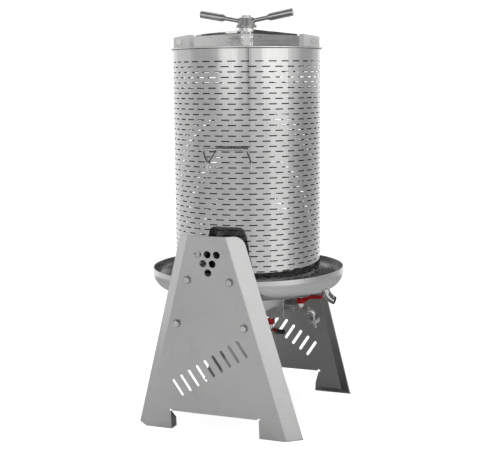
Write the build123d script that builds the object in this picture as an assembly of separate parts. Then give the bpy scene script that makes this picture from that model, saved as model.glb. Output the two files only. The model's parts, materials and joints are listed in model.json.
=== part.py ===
from build123d import *
import math
import os

os.makedirs("parts", exist_ok=True)

# Basket wine press with a water-filled rubber bladder. Millimetres, +Z up.
# Origin: on the ground, on the axis of the basket and the tie rod.
# The front leg faces -Y, the juice spout points to +X.

# --- cutting shapes ---
block = 1000
through = 80

# --- legs: two folded sheets, leaning outward at the top ---
leg_height = 622
leg_lean = 4.18
leg_half_base = 235
leg_half_top = 60.7
leg_face_at_ground = 295.4
leg_sheet = 3
leg_flange_out = 41.2
leg_flange_in = 37.7
leg_flange_round = 38
leg_bend_outside = 5
leg_bend_inside = 2
foot_inner_half = 147
foot_cut_height = 60
foot_lip_full_height = 28
foot_lip_start = 6
foot_lip_gap = 2
foot_relief_radius = 5
hole_radius = 11.4
hole_pitch = 30
hole_row_pitch = 28
hole_top_row_z = 566
slot_row_start = (-118, 138)
slot_row_end = (100, 280)
slot_row_count = 9
slot_row_length = 60
slot_row_width = 10

# --- leg fasteners, M10 ---
leg_bolt_places = ((-68.7, 485), (68.7, 485), (-110, 346), (110, 346))
bolt_radius = 5
bolt_hole_radius = 5.5
bolt_head_width = 17
bolt_head_height = 6.4
bolt_washer_radius = 13
bolt_washer_thick = 2
bolt_nut_height = 8
bolt_tail = 3

# --- cradle under the tray ---
cradle_end_thick = 5
cradle_end_low = (124, 322)
cradle_end_high = (82, 508)
cradle_arm_x = 97
cradle_arm_width = 44
cradle_arm_low = 366
cradle_arm_raw_length = 640
cradle_low = 335
cradle_high = 410
cradle_sheet = 3
cradle_half_x = 157
cradle_half_y = 100
cradle_cross_thick = 4
cradle_corner_round = 8

# --- juice tray ---
tray_radius = 310
tray_corner = 54
tray_bottom = cradle_high + cradle_sheet
tray_rim = 481
tray_sheet = 2
tray_floor = tray_bottom + tray_sheet

# --- spout, a bent tube on the tray corner ---
spout_radius = 13.5
spout_wall = 1.5
spout_end = (296, 381)
spout_end_angle = 16
spout_start_angle = 66
spout_bend = 42
spout_straight = 22

# --- tie rod, M24 ---
rod_radius = 12
rod_hole_radius = 12.6
rod_low = 376
rod_high = 1268
rod_chamfer = 1.5
rod_nut_width = 36
rod_nut_height = 20
rod_washer_radius = 22
rod_washer_thick = 4

# --- rubber bladder and its clamps ---
base_disc_radius = 146
base_disc_thick = 6
bladder_radius = 88
bladder_wall = 3
bladder_flange_radius = 125
bladder_flange_thick = 5
bladder_top = 1140
clamp_ring_outer = 129
clamp_ring_inner = 90
clamp_ring_thick = 6
clamp_bolt_circle = 109
clamp_bolt_count = 8
clamp_bolt_radius = 4
clamp_bolt_head = 13
clamp_bolt_head_height = 5.3
clamp_bolt_set_back = 1
top_disc_radius = 78
top_disc_thick = 6

# --- basket ---
basket_radius = 234
basket_sheet = 1.5
basket_top = 1176
basket_turn = 7.4
rim_outer = 237
rim_inner = 229
rim_thick = 3
foot_ring_height = 22
foot_ring_sheet = 3
handle_rod_radius = 4
handle_half_width = 69
handle_top_z = 877
handle_weld_z = 838
handle_stand_off = 49
handle_foot_length = 26
handle_bend = 8

# --- lid ---
lid_turn = 21.5
lid_seal_inner = 228
lid_seal_outer = 238
lid_seal_thick = 2
lid_radius = 243.5
lid_thick = 4
lid_edge_round = 1
lid_top = basket_top + lid_seal_thick + lid_thick
hub_tube_radius = 21
hub_flange_radius = 29
hub_flange_low = 1234
hub_flange_high = 1241
rib_sheet = 3
rib_end = 226
rib_top_inner = 1228
rib_top_outer = 1220
rib_fold_end = 162
rib_fold = (17, 10)
rib_fold_outer_share = 0.3
rib_end_drop = 4
shoe_start = 168
shoe_shoulder = 182
shoe_end = 232
shoe_half = 10
shoe_sheet = 2
shoe_roof = 4
shoe_top_run_out = 10
shoe_nose_half = 2.5
shoe_top_inner = 1225.5
shoe_top_outer = 1215
shoe_bolt_at = 215
shoe_bolt_z = 1202
shoe_bolt_proud = 1

# --- T-handle nut ---
washer_radius = 24
washer_high = 1246
ring_radius = 34
ring_high = 1254
ring_round = 3.5
nut_low_radius = 29.3
nut_high_radius = 25
nut_high = 1278
nut_chamfer = 2
boss_radius = 14.4
boss_high = 1285
nut_bore_high = 1272
thread_gap = 0.05
handle_turn_start = 4
arm_rise = 10.5
arm_centre_z = 1269
arm_centre_at = 28.5
arm_rod_radius = 7
arm_grip_radius = 12
arm_socket_start = 18
arm_cone_start = 70
arm_cone_end = 80
arm_end = 156
arm_end_round = 2

# --- water pipes and valves ---
water_y = 40
pipe_radius = 8
pipe_bore = 6
pipe_clearance = 0.05
pipe_hole_radius = 9
pipe_socket_depth = 9.5
inlet_z = 333
drain_z = 255
inlet_x = 168
drain_x = 62
tee_radius = 12.5
tee_reach = 19
valve_hex = 23
valve_left = -28
valve_right = 26
valve_left_hex_end = -18
valve_right_hex_start = 15
valve_waist = 11
valve_waist_length = 40
valve_socket_depth = 10
ball_radius = 9
ball_gap = 0.08
ball_bore = 5.5
ball_slot_width = 3
ball_slot_depth = 2
stem_key = (5, 2.8, 2)
stem_key_drop = 0.4
stem_gap = 0.1
bonnet_radius = 7.5
bonnet_high = 15
gland_width = 14
gland_high = 25
stem_radius = 3.5
stem_high = 45.5
lever_low = 24
lever_hub_high = 41
lever_hub_radius = 14
lever_cup_radius = 9.5
lever_cup_high = 36
lever_half_width = 10
lever_nut_width = 10
lever_nut_high = 45
lever_hub_round = 4
lever_tip_round = 7
lever_side_view = (
    (0, 30),
    (0, 41),
    (8, 41),
    (16, 43),
    (34, 51),
    (74, 52),
    (74, 43),
    (36, 42),
    (20, 32),
)
elbow_bend = 13
elbow_drop = 20
elbow_straight = 1
elbow_radius = 7
elbow_lip_radius = 10
elbow_lip_thick = 3
elbow_turn = 25
hose_nut_height = 14
hose_nut_rise = 6.3
hose_nut_core = 16.5
hose_nut_wall = 3
hose_nut_gap = 0.1
hose_nut_lobes = 12
hose_nut_lobe_radius = 2.4
hose_nut_lobe_at = 16.1
barb_radius = 5
barb_rib = 6
barb_length = 34
barb_rib_pitch = 6
barb_rib_start = 2
barb_bore = 3.5
tail_collar_radius = 9.5
tail_collar_thick = 3
tail_gap = 0.1
nozzle_length = 22
nozzle_rib_pitch = 4.4
nozzle_radius = 7
nozzle_rib = 8.6

# --- values worked out from the ones above ---
lean_sin = math.sin(math.radians(leg_lean))
lean_cos = math.cos(math.radians(leg_lean))
lean_tan = math.tan(math.radians(leg_lean))
leg_plane = Plane(
    origin=(0, -leg_face_at_ground, 0),
    x_dir=(1, 0, 0),
    z_dir=(0, -lean_cos, -lean_sin),
)


def save(shape, name):
    export_step(shape, "parts/" + name + ".step")


def leg_face_y(z):
    """Y of the front leg's outer face at height z."""
    return -(leg_face_at_ground + lean_tan * z)


def on_leg(x, z, depth=0):
    """A place on the front leg's outer face, with its axis pointing out of the leg."""
    return leg_plane * Pos(x, z / lean_cos, depth)


def ring(outer, inner, low, high):
    """A flat ring or tube round the vertical axis."""
    tube = Cylinder(outer, high - low) - Cylinder(inner, block)
    return Pos(0, 0, (low + high) / 2) * tube


def outer_circles(solid):
    """The two outermost circular edges of a ring."""
    return solid.edges().filter_by(GeomType.CIRCLE).sort_by(SortBy.RADIUS)[-2:]


def hexagon(width, height, bore):
    """A hexagon standing on z = 0 with a bore; width is across its flats."""
    body = extrude(RegularPolygon(width / math.sqrt(3), 6, rotation=30), amount=height)
    if bore:
        body -= Pos(0, 0, height / 2) * Cylinder(bore, height + 2)
    return body


def flat_plate(corners, thickness, inward):
    """A flat sheet from the corners of its outer face, thickened along inward."""
    face = Face(Wire.make_polygon([Vector(*c) for c in corners], close=True))
    return extrude(face, amount=thickness, dir=inward)


def both_legs(shape):
    """The shape at the front leg and the same one turned round to the back leg."""
    return [shape, Rot(0, 0, 180) * shape]


# ---------------------------------------------------------------- legs
def leg_panel():
    cut_top = foot_cut_height / lean_cos
    top = leg_height / lean_cos
    outline = Polygon(
        (-leg_half_base, 0),
        (-foot_inner_half, 0),
        (-foot_inner_half, cut_top),
        (foot_inner_half, cut_top),
        (foot_inner_half, 0),
        (leg_half_base, 0),
        (leg_half_top, top),
        (-leg_half_top, top),
        align=None,
    )
    for side in (-1, 1):
        outline -= Pos(side * foot_inner_half, cut_top) * Circle(foot_relief_radius)
    for row in range(3):
        count = 3 - row
        z = hole_top_row_z - row * hole_row_pitch
        for i in range(count):
            x = (i - (count - 1) / 2) * hole_pitch
            outline -= Pos(x, z / lean_cos) * Circle(hole_radius)
    run = slot_row_end[0] - slot_row_start[0]
    rise = slot_row_end[1] - slot_row_start[1]
    slope = math.degrees(math.atan2(rise, run))
    for i in range(slot_row_count):
        share = i / (slot_row_count - 1)
        x = slot_row_start[0] + share * run
        z = slot_row_start[1] + share * rise
        slot = Rot(0, 0, slope + 90) * SlotOverall(slot_row_length, slot_row_width)
        outline -= Pos(x, z / lean_cos) * slot
    for x, z in leg_bolt_places:
        outline -= Pos(x, z / lean_cos) * Circle(bolt_hole_radius)
    return extrude(leg_plane * outline, amount=-leg_sheet)


def leg_flange(side):
    foot = Vector(side * leg_half_base, leg_face_y(0), 0)
    head = Vector(side * leg_half_top, leg_face_y(leg_height), leg_height)
    across = Vector(side * leg_flange_out, leg_flange_in, 0)
    inward = across.cross(head - foot).normalized()
    if inward.Y < 0:
        inward = inward * -1
    plate = flat_plate([foot, head, head + across, foot + across], leg_sheet, inward)
    tip = head + across
    corner = plate.edges().sort_by_distance(tip + inward * (leg_sheet / 2))[0]
    return fillet(corner, leg_flange_round)


def foot_lip(side):
    x = side * foot_inner_half
    high = foot_cut_height - foot_lip_gap
    low = foot_lip_full_height
    corners = [
        (x, leg_face_y(0), 0),
        (x, leg_face_y(high), high),
        (x, leg_face_y(high) + foot_lip_start, high),
        (x, leg_face_y(low) + leg_flange_in, low),
        (x, leg_face_y(0) + leg_flange_in, 0),
    ]
    return flat_plate(corners, leg_sheet, Vector(side, 0, 0))


def foot_sole(side):
    y = leg_face_y(0)
    corners = [
        (side * foot_inner_half, y, 0),
        (side * leg_half_base, y, 0),
        (side * (leg_half_base + leg_flange_out), y + leg_flange_in, 0),
        (side * foot_inner_half, y + leg_flange_in, 0),
    ]
    return flat_plate(corners, leg_sheet, Vector(0, 0, 1))


def round_fold(leg, side, nearest, radius):
    """Rounds one of the two long edges where the panel folds into a flange."""
    middle_x = side * (leg_half_base + leg_half_top) / 2
    middle = Vector(middle_x, leg_face_y(leg_height / 2), leg_height / 2)
    long_edges = leg.edges().filter_by(lambda edge: edge.length > leg_height / 2)
    return fillet(long_edges.sort_by_distance(middle)[nearest], radius)


def make_leg():
    leg = leg_panel()
    for side in (-1, 1):
        leg += leg_flange(side)
    for side in (-1, 1):
        leg = round_fold(leg, side, 1, leg_bend_inside)
        leg = round_fold(leg, side, 0, leg_bend_outside)
    for side in (-1, 1):
        leg += foot_lip(side)
        leg += foot_sole(side)
    below_ground = Pos(0, 0, -block / 2) * Box(block, block, block)
    return leg - below_ground


leg = make_leg()
save(leg, "leg_front")
save(Rot(0, 0, 180) * leg, "leg_back")

# ---------------------------------------------------------------- leg fasteners
stack = leg_sheet + cradle_end_thick
bolts = []
washers = []
nuts = []
for x, z in leg_bolt_places:
    head = Pos(0, 0, bolt_washer_thick) * hexagon(bolt_head_width, bolt_head_height, 0)
    reach = stack + bolt_washer_thick + bolt_nut_height + bolt_tail
    shank = Pos(0, 0, (bolt_washer_thick - reach) / 2) * Cylinder(
        bolt_radius, reach + bolt_washer_thick
    )
    outer = ring(bolt_washer_radius, bolt_hole_radius, 0, bolt_washer_thick)
    inner = Pos(0, 0, -stack - bolt_washer_thick) * outer
    nut = hexagon(bolt_head_width, bolt_nut_height, bolt_radius + thread_gap)
    nut = Pos(0, 0, -stack - bolt_washer_thick - bolt_nut_height) * nut
    place = on_leg(x, z)
    bolts += both_legs(place * (head + shank))
    washers += both_legs(place * outer)
    washers += both_legs(place * inner)
    nuts += both_legs(place * nut)
save(Compound(children=bolts), "leg_bolts")
save(Compound(children=washers), "leg_washers")
save(Compound(children=nuts), "leg_nuts")


# ---------------------------------------------------------------- cradle
def cradle_end():
    low_x, low_z = cradle_end_low
    high_x, high_z = cradle_end_high
    outline = Polygon(
        (-low_x, low_z / lean_cos),
        (low_x, low_z / lean_cos),
        (high_x, high_z / lean_cos),
        (-high_x, high_z / lean_cos),
        align=None,
    )
    outline = fillet(outline.vertices(), cradle_corner_round)
    for x, z in leg_bolt_places:
        outline -= Pos(x, z / lean_cos) * Circle(bolt_hole_radius)
    plate = extrude(leg_plane * outline, amount=-cradle_end_thick)
    return Pos(0, lean_cos * leg_sheet, lean_sin * leg_sheet) * plate


def make_cradle():
    height = cradle_high - cradle_low
    middle = (cradle_high + cradle_low) / 2
    arm_height = cradle_high - cradle_arm_low
    arm_middle = (cradle_high + cradle_arm_low) / 2
    arm = Pos(0, 0, arm_middle) * Box(cradle_arm_width, cradle_arm_raw_length, arm_height)
    arm -= Pos(0, 0, arm_middle - cradle_sheet) * Box(
        cradle_arm_width - 2 * cradle_sheet, block, arm_height
    )
    beyond = on_leg(0, middle, block / 2 - stack + cradle_end_thick / 2) * Box(block, block, block)
    arms = Pos(-cradle_arm_x, 0, 0) * arm + Pos(cradle_arm_x, 0, 0) * arm
    arms = arms - beyond - Rot(0, 0, 180) * beyond
    top = Pos(0, 0, cradle_high + cradle_sheet / 2) * Box(
        2 * cradle_half_x, 2 * cradle_half_y + cradle_cross_thick, cradle_sheet
    )
    cradle = arms + top
    for side in (-1, 1):
        cradle += Pos(0, side * cradle_half_y, middle) * Box(
            2 * cradle_half_x, cradle_cross_thick, height
        )
    for end in both_legs(cradle_end()):
        cradle += end
    cradle -= Pos(0, 0, cradle_high) * Cylinder(rod_hole_radius, through)
    cradle -= Pos(0, water_y, cradle_high) * Cylinder(pipe_hole_radius, through)
    return cradle


save(make_cradle(), "tray_cradle")


# ---------------------------------------------------------------- tray and spout
def bowl(offset, rim):
    """The filled bowl, its outer surface set in by offset."""
    corner_x = tray_radius - tray_corner
    corner_z = tray_bottom + tray_corner
    radius = tray_corner - offset
    slant = math.radians(45)
    bottom = Line((0, corner_z - radius), (corner_x, corner_z - radius))
    middle = (corner_x + radius * math.sin(slant), corner_z - radius * math.cos(slant))
    bend = ThreePointArc(bottom @ 1, middle, (corner_x + radius, corner_z))
    wall = Polyline(bend @ 1, (corner_x + radius, rim), (0, rim), bottom @ 0)
    face = make_face(Plane.XZ * (bottom + bend + wall))
    return revolve(face, Axis.Z)


def spout_path():
    low = math.radians(spout_end_angle)
    steep = math.radians(spout_start_angle)
    centre_x = spout_end[0] + spout_bend * math.sin(low)
    centre_z = spout_end[1] + spout_bend * math.cos(low)

    def on_bend(angle):
        x = centre_x - spout_bend * math.sin(angle)
        return (x, 0, centre_z - spout_bend * math.cos(angle))

    start = on_bend(steep)
    back = (
        start[0] - spout_straight * math.cos(steep),
        0,
        start[2] + spout_straight * math.sin(steep),
    )
    bend = ThreePointArc(start, on_bend((low + steep) / 2), on_bend(low))
    return Line(back, start) + bend


def spout_rod(radius):
    path = spout_path()
    start = Plane(origin=path @ 0, z_dir=path % 0)
    return sweep(start * Circle(radius), path=path)


outside = bowl(0, tray_rim)
spout_core = spout_rod(spout_radius - spout_wall)
tray = outside - bowl(tray_sheet, tray_rim + through)
tray -= spout_core
tray -= Pos(0, 0, tray_bottom) * Cylinder(rod_hole_radius, through)
tray -= Pos(0, water_y, tray_bottom) * Cylinder(pipe_hole_radius, through)
save(tray, "juice_tray")
save(spout_rod(spout_radius) - spout_core - bowl(0, tray_rim + through), "juice_spout")

# ---------------------------------------------------------------- tie rod
rod = Pos(0, 0, (rod_low + rod_high) / 2) * Cylinder(rod_radius, rod_high - rod_low)
save(chamfer(rod.edges(), rod_chamfer), "tie_rod")
rod_nut = hexagon(rod_nut_width, rod_nut_height, rod_radius + thread_gap)
anchor_nut = Pos(0, 0, cradle_high - rod_washer_thick - rod_nut_height) * rod_nut
bladder_nut = Pos(0, 0, bladder_top + top_disc_thick) * rod_nut
save(Compound(children=[anchor_nut, bladder_nut]), "rod_nuts")
save(
    ring(rod_washer_radius, rod_hole_radius, cradle_high - rod_washer_thick, cradle_high),
    "rod_anchor_washer",
)

# ---------------------------------------------------------------- bladder and clamps
disc_top = tray_floor + base_disc_thick
flange_top = disc_top + bladder_flange_thick
clamp_top = flange_top + clamp_ring_thick


def clamp_places():
    return PolarLocations(clamp_bolt_circle, clamp_bolt_count)


base_disc = ring(base_disc_radius, rod_hole_radius, tray_floor, disc_top)
base_disc -= Pos(0, water_y, disc_top) * Cylinder(pipe_radius + pipe_clearance, through)
clamp_ring = ring(clamp_ring_outer, clamp_ring_inner, flange_top, clamp_top)
clamp_holes = [
    Pos(0, 0, disc_top) * place * Cylinder(clamp_bolt_radius + thread_gap, through)
    for place in clamp_places()
]
clamp_reach = clamp_top - disc_top + base_disc_thick - clamp_bolt_set_back
clamp_bolt = Pos(0, 0, clamp_top) * hexagon(clamp_bolt_head, clamp_bolt_head_height, 0)
clamp_bolt += Pos(0, 0, clamp_top - clamp_reach / 2) * Cylinder(
    clamp_bolt_radius, clamp_reach
)


def bladder_shape(inset):
    """The filled bladder, its outer surface set in by inset; a cutting one runs past its foot."""
    radius = bladder_radius - inset
    low = disc_top - through if inset else disc_top
    top = bladder_top - inset
    shoulder = bladder_radius - top_disc_radius
    points = [
        (0, low),
        (radius, low),
        (radius, top - 2 * shoulder),
        (top_disc_radius - inset, top),
        (0, top),
    ]
    return revolve(make_face(Plane.XZ * Polyline(*points, close=True)), Axis.Z)


bladder = bladder_shape(0)
bladder += Pos(0, 0, (disc_top + flange_top) / 2) * Cylinder(
    bladder_flange_radius, bladder_flange_thick
)
bladder -= bladder_shape(bladder_wall)
bladder -= Pos(0, 0, bladder_top) * Cylinder(rod_radius + thread_gap, through)
for hole in clamp_holes:
    base_disc -= hole
    clamp_ring -= hole
    bladder -= hole
save(base_disc, "base_disc")
save(clamp_ring, "bladder_clamp_ring")
save(bladder, "bladder")
save(Compound(children=[place * clamp_bolt for place in clamp_places()]), "clamp_bolts")
save(
    ring(top_disc_radius, rod_radius + thread_gap, bladder_top, bladder_top + top_disc_thick),
    "bladder_top_disc",
)

# ---------------------------------------------------------------- basket
turn_basket = Rot(0, 0, basket_turn)
shell_inner = basket_radius - basket_sheet
shell = ring(basket_radius, shell_inner, tray_floor, basket_top - rim_thick)
save(shell, "basket_shell")
save(ring(rim_outer, rim_inner, basket_top - rim_thick, basket_top), "basket_rim")
save(
    ring(shell_inner, shell_inner - foot_ring_sheet, tray_floor, tray_floor + foot_ring_height),
    "basket_foot_ring",
)


def make_basket_handle():
    bar_y = -(basket_radius + handle_stand_off)
    weld_y = -math.sqrt((basket_radius + handle_rod_radius) ** 2 - handle_half_width**2)
    half = handle_half_width
    knee_z = handle_weld_z - handle_rod_radius
    foot_z = knee_z - handle_foot_length
    points = [
        (-half, weld_y, foot_z),
        (-half, weld_y, knee_z),
        (-half, bar_y, handle_top_z),
        (half, bar_y, handle_top_z),
        (half, weld_y, knee_z),
        (half, weld_y, foot_z),
    ]
    path = FilletPolyline(*points, radius=handle_bend)
    start = Plane(origin=path @ 0, z_dir=path % 0)
    rod = sweep(start * Circle(handle_rod_radius), path=path)
    inside = Pos(0, 0, handle_weld_z) * Cylinder(basket_radius, block)
    return rod - inside


basket_handle = make_basket_handle()
save(turn_basket * basket_handle, "basket_handle_front")
save(turn_basket * Rot(0, 0, 180) * basket_handle, "basket_handle_back")

# ---------------------------------------------------------------- lid
turn_lid = Rot(0, 0, lid_turn)
lid_low = lid_top - lid_thick
save(ring(lid_seal_outer, lid_seal_inner, basket_top, lid_low), "lid_seal")
lid_plate = ring(lid_radius, rod_hole_radius, lid_low, lid_top)
save(fillet(outer_circles(lid_plate), lid_edge_round), "lid_plate")
hub_middle = (lid_top + hub_flange_low) / 2
lid_hub = Pos(0, 0, hub_middle) * Cylinder(hub_tube_radius, hub_flange_low - lid_top)
lid_hub += Pos(0, 0, (hub_flange_low + hub_flange_high) / 2) * Cylinder(
    hub_flange_radius, hub_flange_high - hub_flange_low
)
lid_hub -= Pos(0, 0, hub_middle) * Cylinder(rod_hole_radius, block)
save(lid_hub, "lid_hub")


def make_rib():
    """One lid rib along +X: an upright web whose top edge folds up and to -Y."""
    start = hub_tube_radius
    web = flat_plate(
        [
            (start, 0, lid_top),
            (rib_end, 0, lid_top),
            (rib_end, 0, shoe_top_outer - rib_end_drop),
            (shoe_start, 0, rib_top_outer),
            (start, 0, rib_top_inner),
        ],
        rib_sheet,
        Vector(0, 1, 0),
    )
    fold_start = Vector(start, 0, rib_top_inner)
    fold_end = Vector(rib_fold_end, 0, rib_top_outer)
    width = Vector(0, -rib_fold[0], rib_fold[1])
    inner_tip = fold_start + width
    outer_tip = fold_end + width * rib_fold_outer_share
    normal = (fold_end - fold_start).cross(inner_tip - fold_start).normalized()
    if normal.Z < 0:
        normal = normal * -1
    fold = flat_plate([fold_start, fold_end, outer_tip, inner_tip], rib_sheet, normal)
    rib = web + fold
    rib -= Pos(0, 0, lid_top) * Cylinder(hub_tube_radius, block)
    rib -= Pos(0, 0, hub_flange_low + through / 2) * Cylinder(hub_flange_radius, through)
    return Pos(0, -rib_sheet / 2, 0) * rib


def make_shoe():
    """The folded box at a rib's outer end, along +X, straddling the web."""

    def plan(inset):
        half = shoe_half - inset
        return Polygon(
            (shoe_start + inset, -shoe_nose_half + inset / 2),
            (shoe_shoulder, -half),
            (shoe_end - inset, -half),
            (shoe_end - inset, half),
            (shoe_shoulder, half),
            (shoe_start + inset, shoe_nose_half - inset / 2),
            align=None,
        )

    box = extrude(Pos(0, 0, lid_top) * plan(0), amount=through)
    box -= extrude(Pos(0, 0, shoe_top_outer - shoe_roof) * plan(shoe_sheet), amount=-through)
    above = Polygon(
        (0, shoe_top_inner),
        (shoe_shoulder, shoe_top_inner),
        (shoe_end + shoe_top_run_out, shoe_top_outer),
        (shoe_end + shoe_top_run_out, shoe_top_outer + block),
        (0, shoe_top_outer + block),
        align=None,
    )
    box -= extrude(Plane.XZ * above, amount=through, both=True)
    web_room = Pos(rib_end - block / 2, 0, lid_top) * Box(block, rib_sheet, block)
    return box - web_room


rib = make_rib()
shoe = make_shoe()
bolt_axis = Pos(shoe_bolt_at, 0, shoe_bolt_z) * Rot(90, 0, 0)
bolt_clear = bolt_axis * Cylinder(bolt_hole_radius, through)
shank_length = 2 * (shoe_half + shoe_bolt_proud) + bolt_nut_height
shoe_bolt = Pos(0, 0, shoe_half) * hexagon(bolt_head_width, bolt_head_height, 0)
shoe_bolt += Pos(0, 0, -bolt_nut_height / 2) * Cylinder(bolt_radius, shank_length)
shoe_nut = Pos(0, 0, -shoe_half - bolt_nut_height) * hexagon(
    bolt_head_width, bolt_nut_height, bolt_radius + thread_gap
)
shoe_bolts = []
shoe_nuts = []
for name, angle in (("front", -90), ("right", 0), ("back", 90), ("left", 180)):
    place = turn_lid * Rot(0, 0, angle)
    save(place * (rib - bolt_clear), "lid_rib_" + name)
    save(place * (shoe - bolt_clear), "lid_shoe_" + name)
    shoe_bolts.append(place * bolt_axis * shoe_bolt)
    shoe_nuts.append(place * bolt_axis * shoe_nut)
save(Compound(children=shoe_bolts), "lid_shoe_bolts")
save(Compound(children=shoe_nuts), "lid_shoe_nuts")

# ---------------------------------------------------------------- T-handle nut
save(ring(washer_radius, rod_hole_radius, hub_flange_high, washer_high), "handle_washer")
thrust = ring(ring_radius, rod_hole_radius, washer_high, ring_high)
thrust = fillet(outer_circles(thrust), ring_round)
save(thrust, "thrust_ring")
turn_handle = Rot(0, 0, handle_turn_start)
nut_height = nut_high - ring_high
handle_nut = Pos(0, 0, ring_high + nut_height / 2) * Cone(
    nut_low_radius, nut_high_radius, nut_height
)
handle_nut = chamfer(handle_nut.edges().group_by(Axis.Z)[-1], nut_chamfer)
handle_nut += Pos(0, 0, (nut_high + boss_high) / 2) * Cylinder(
    boss_radius, boss_high - nut_high
)
handle_nut -= Pos(0, 0, nut_bore_high - through / 2) * Cylinder(rod_radius + thread_gap, through)


def make_arm():
    """One arm and its grip, turned from a single bar, along +X before it is tilted."""
    profile = Polyline(
        (arm_socket_start, 0),
        (arm_socket_start, arm_rod_radius),
        (arm_cone_start, arm_rod_radius),
        (arm_cone_end, arm_grip_radius),
        (arm_end - arm_end_round, arm_grip_radius),
        (arm_end, arm_grip_radius - arm_end_round),
        (arm_end, 0),
        close=True,
    )
    return revolve(make_face(profile), Axis.X)


tilt = Pos(arm_centre_at, 0, arm_centre_z) * Rot(0, -arm_rise, 0) * Pos(-arm_centre_at, 0, 0)
arm = tilt * make_arm()
socket_middle = arm_socket_start - thread_gap + through / 2
socket = tilt * Pos(socket_middle, 0, 0) * Rot(0, 90, 0) * Cylinder(
    arm_rod_radius + thread_gap, through
)
for angle in (0, 180):
    handle_nut -= Rot(0, 0, angle) * socket
save(turn_handle * handle_nut, "handle_nut")
save(turn_handle * arm, "handle_arm_right")
save(turn_handle * Rot(0, 0, 180) * arm, "handle_arm_left")


# ---------------------------------------------------------------- water pipes and valves
def along_x(shape):
    """A shape made along +Z, turned to lie along +X."""
    return Rot(0, 90, 0) * shape


def pipe(start, end, outer, inner):
    """A tube between two points."""
    direction = Vector(*end) - Vector(*start)
    plane = Plane(origin=start, z_dir=direction)
    tube = extrude(plane * Circle(outer), amount=direction.length)
    if inner:
        tube -= extrude(plane * Circle(inner), amount=direction.length)
    return tube


def fitting(centre, reaches):
    """A cast tee or elbow: thick tubes from the centre, each with a socket."""
    body = Pos(*centre) * Sphere(tee_radius)
    for reach in reaches:
        end = Vector(*centre) + Vector(*reach)
        body += pipe(centre, end, tee_radius, 0)
    body -= Pos(*centre) * Sphere(pipe_bore)
    for reach in reaches:
        step = Vector(*reach).normalized()
        end = Vector(*centre) + Vector(*reach)
        body -= pipe(centre, end, pipe_bore, 0)
        socket_start = end - step * (tee_reach / 2)
        body -= pipe(socket_start, end, pipe_radius + pipe_clearance, 0)
    return body


def valve_body():
    body = along_x(Cylinder(valve_waist, valve_waist_length))
    body += Pos(valve_left, 0, 0) * along_x(
        hexagon(valve_hex, valve_left_hex_end - valve_left, 0)
    )
    body += Pos(valve_right_hex_start, 0, 0) * along_x(
        hexagon(valve_hex, valve_right - valve_right_hex_start, 0)
    )
    body += Pos(0, 0, bonnet_high / 2) * Cylinder(bonnet_radius, bonnet_high)
    body -= along_x(Cylinder(pipe_bore, through))
    socket = along_x(Cylinder(pipe_radius + pipe_clearance, 2 * valve_socket_depth))
    body -= Pos(valve_left, 0, 0) * socket
    body -= Pos(valve_right, 0, 0) * socket
    body -= Sphere(ball_radius + ball_gap)
    body -= Pos(0, 0, through / 2) * Cylinder(stem_radius + thread_gap, through)
    return body


def valve_ball():
    ball = Sphere(ball_radius) - along_x(Cylinder(ball_bore, through))
    return ball - Pos(0, 0, ball_radius) * Box(through, ball_slot_width, 2 * ball_slot_depth)


def valve_stem():
    length = stem_high - ball_radius
    stem = Pos(0, 0, ball_radius + stem_gap + length / 2) * Cylinder(stem_radius, length)
    return stem + Pos(0, 0, ball_radius - stem_key_drop) * Box(*stem_key)


def gland_nut():
    nut = hexagon(gland_width, gland_high - bonnet_high, stem_radius + thread_gap)
    return Pos(0, 0, bonnet_high) * nut


def lever():
    hub_height = lever_hub_high - lever_low
    hub = Pos(0, 0, lever_low + hub_height / 2) * Cylinder(lever_hub_radius, hub_height)
    hub = fillet(hub.edges().group_by(Axis.Z)[-1], lever_hub_round)
    side = Polygon(*lever_side_view, align=None)
    arm = extrude(Plane.XZ * side, amount=lever_half_width, both=True)
    tip = arm.edges().filter_by(Axis.Z).group_by(Axis.X)[-1]
    arm = fillet(tip, lever_tip_round)
    body = hub + arm
    body -= Pos(0, 0, lever_cup_high - through / 2) * Cylinder(lever_cup_radius, through)
    body -= Pos(0, 0, lever_cup_high) * Cylinder(stem_radius + thread_gap, through)
    return body


def lever_nut():
    height = lever_nut_high - lever_hub_high
    nut = hexagon(lever_nut_width, height, stem_radius + thread_gap)
    return Pos(0, 0, lever_hub_high) * nut


def save_valve(name, place, lever_angle):
    save(place * valve_body(), name + "_valve_body")
    save(place * Rot(0, 0, lever_angle) * valve_ball(), name + "_valve_ball")
    save(place * Rot(0, 0, lever_angle) * valve_stem(), name + "_valve_stem")
    save(place * Rot(0, 0, lever_angle) * lever(), name + "_lever")
    save(place * Rot(0, 0, lever_angle) * lever_nut(), name + "_lever_nut")


inlet = Pos(inlet_x, water_y, inlet_z)
drain = Pos(drain_x, water_y, drain_z)
save_valve("inlet", inlet, 0)
save_valve("drain", drain, -90)
gland_nuts = [inlet * gland_nut(), drain * gland_nut()]
save(Compound(children=gland_nuts), "gland_nuts")

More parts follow.
